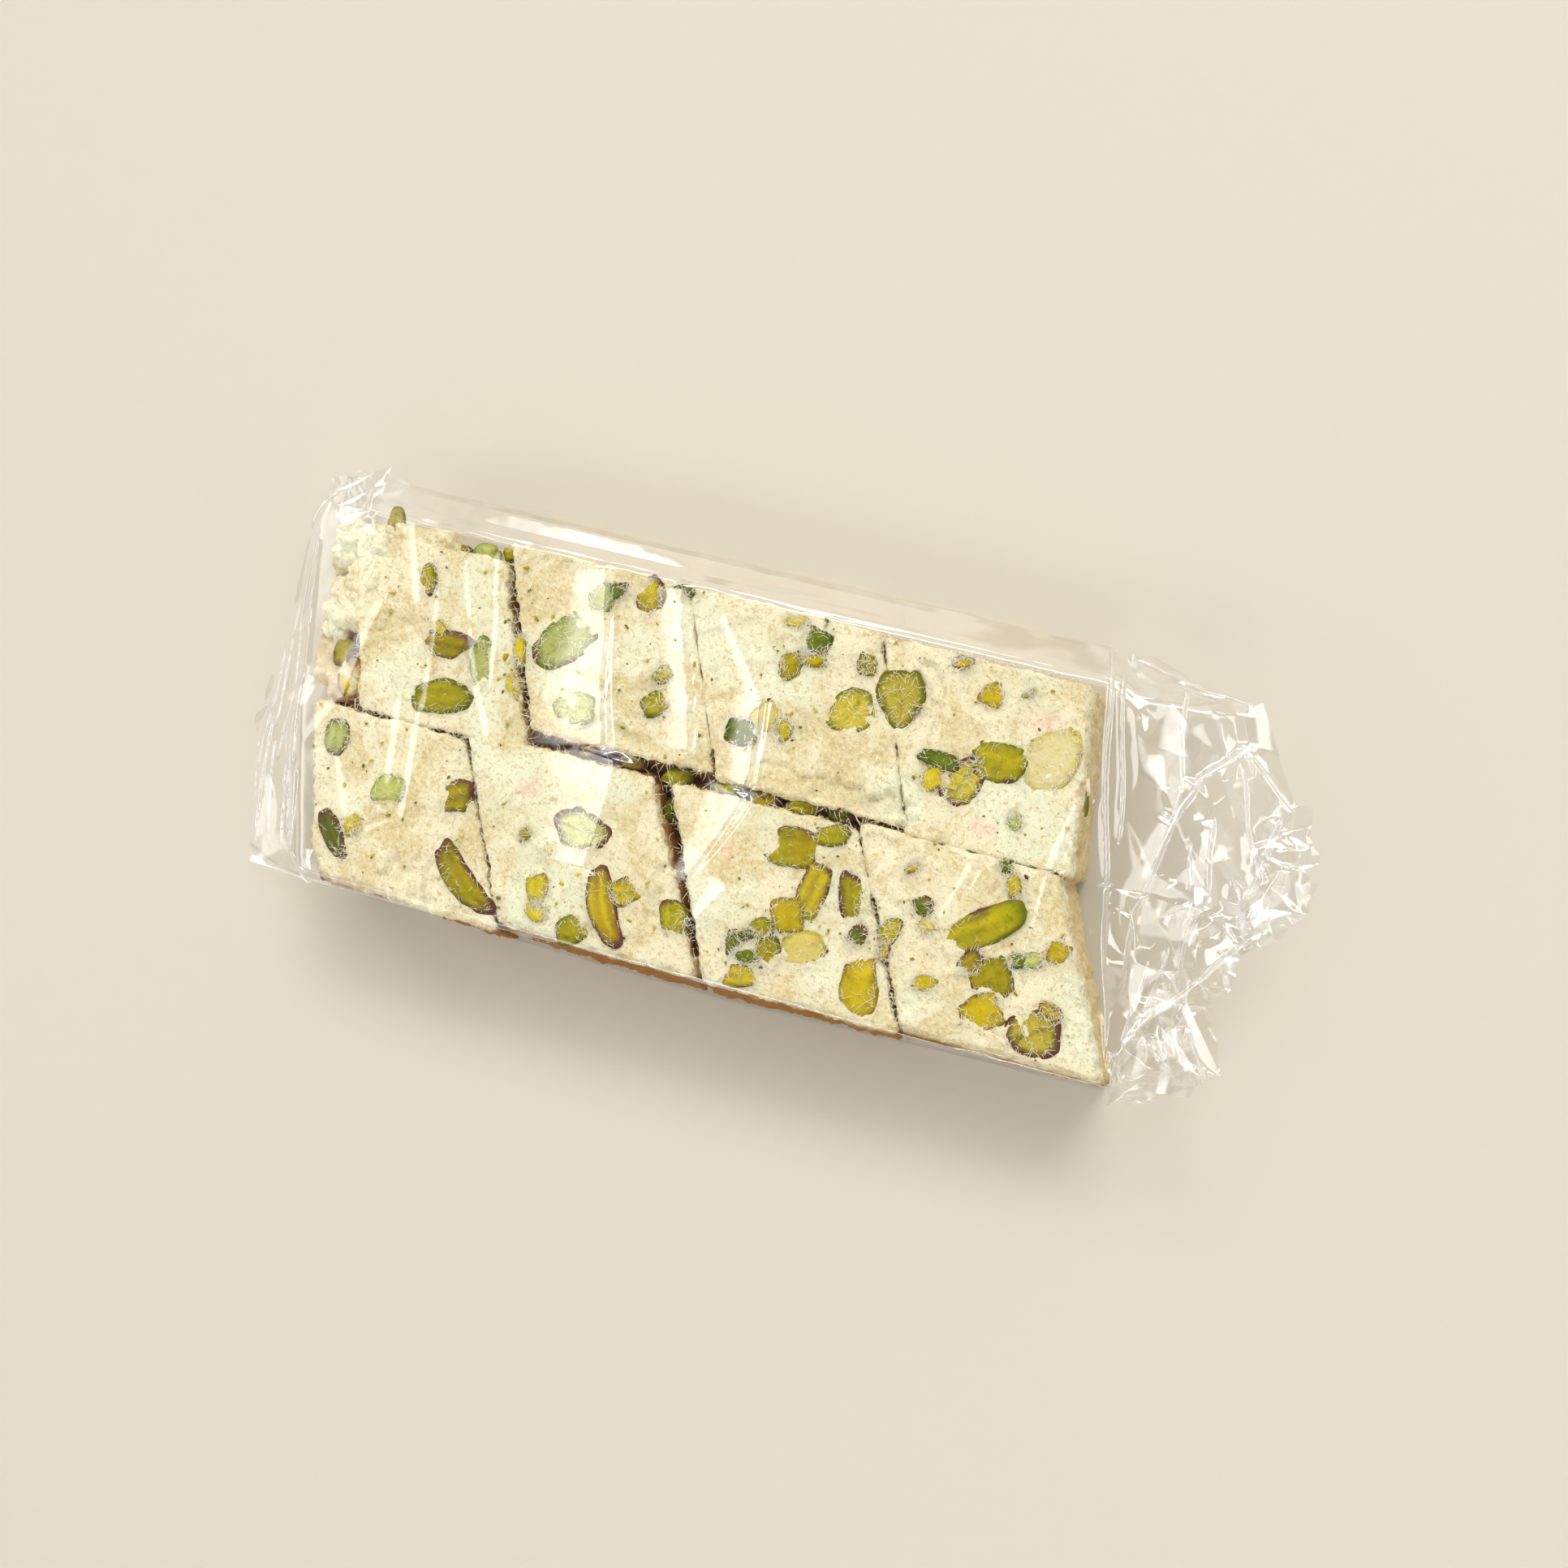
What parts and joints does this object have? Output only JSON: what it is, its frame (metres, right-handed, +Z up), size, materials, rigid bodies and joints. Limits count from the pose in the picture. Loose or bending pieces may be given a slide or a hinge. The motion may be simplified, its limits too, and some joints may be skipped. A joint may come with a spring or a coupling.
{
  "type": "pistachio halva in a clear film bag",
  "caption": "Low slab of pale pistachio halva, cut on the slant into pieces, in a close clear film bag with a skirt along one side and crumpled ends.",
  "frame": {"origin": "middle of the slab's flat underside, on the surface that the pack lies on", "axes": "+Z up; +X along the slab towards the longer crumpled end of the bag; +Y across the slab towards the side where the film stands off it"},
  "size_m": [0.2063, 0.0822, 0.0225],
  "materials": {
    "halva": "matte, dry and crumbly, cream with beige mottling",
    "pistachio": "satin, green to yellow with purple-brown skin",
    "film": "clear, thin, high gloss, sharply creased"
  },
  "bodies": {
    "root": {"halva_bag": "halva"}
  },
  "joints": []
}
